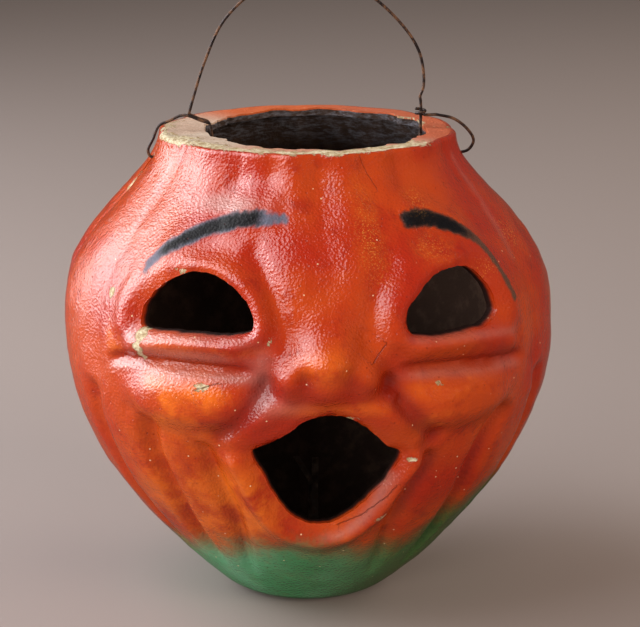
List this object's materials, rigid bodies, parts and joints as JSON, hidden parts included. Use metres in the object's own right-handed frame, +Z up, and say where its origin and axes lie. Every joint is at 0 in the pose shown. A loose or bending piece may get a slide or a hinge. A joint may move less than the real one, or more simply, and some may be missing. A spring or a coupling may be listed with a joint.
{
  "type": "paper mache jack-o-lantern",
  "caption": "Hollow ribbed paper-pulp pumpkin lantern with a laughing face cut through its front, an open rimmed top, a tin candle holder inside and a swinging wire bail.",
  "frame": {"origin": "On the ground, at the middle of the foot's flat underside, under the axis of the rim and belly.", "axes": "+Z up through the rim, the face looks along -Y, +X to the viewer's right of the face."},
  "size_m": [0.164, 0.1756, 0.2095],
  "materials": {
    "painted_pulp": "orange-red paint with a worn gloss, airbrushed green at the foot, cream pulp where chipped",
    "gummed_paper": "gummed paper under matt black paint",
    "tinplate": "dull tinplate",
    "brass_brad": "tarnished brass",
    "iron_wire": "dark oxidised soft iron wire"
  },
  "bodies": {
    "shell": {"front_half": "painted_pulp", "back_half": "painted_pulp", "seam_tape_left": "gummed_paper", "seam_tape_right": "gummed_paper", "seam_tape_base": "gummed_paper", "candle_holder": "tinplate", "holder_brad": "brass_brad"},
    "bail": {"wire_bail": "iron_wire"}
  },
  "joints": [
    {"name": "bail_swing", "type": "hinge", "parent": "shell", "child": "bail", "pos_m": [0, 0, 0.15], "axis": [1, 0, 0], "range_deg": [-25, 25]}
  ]
}
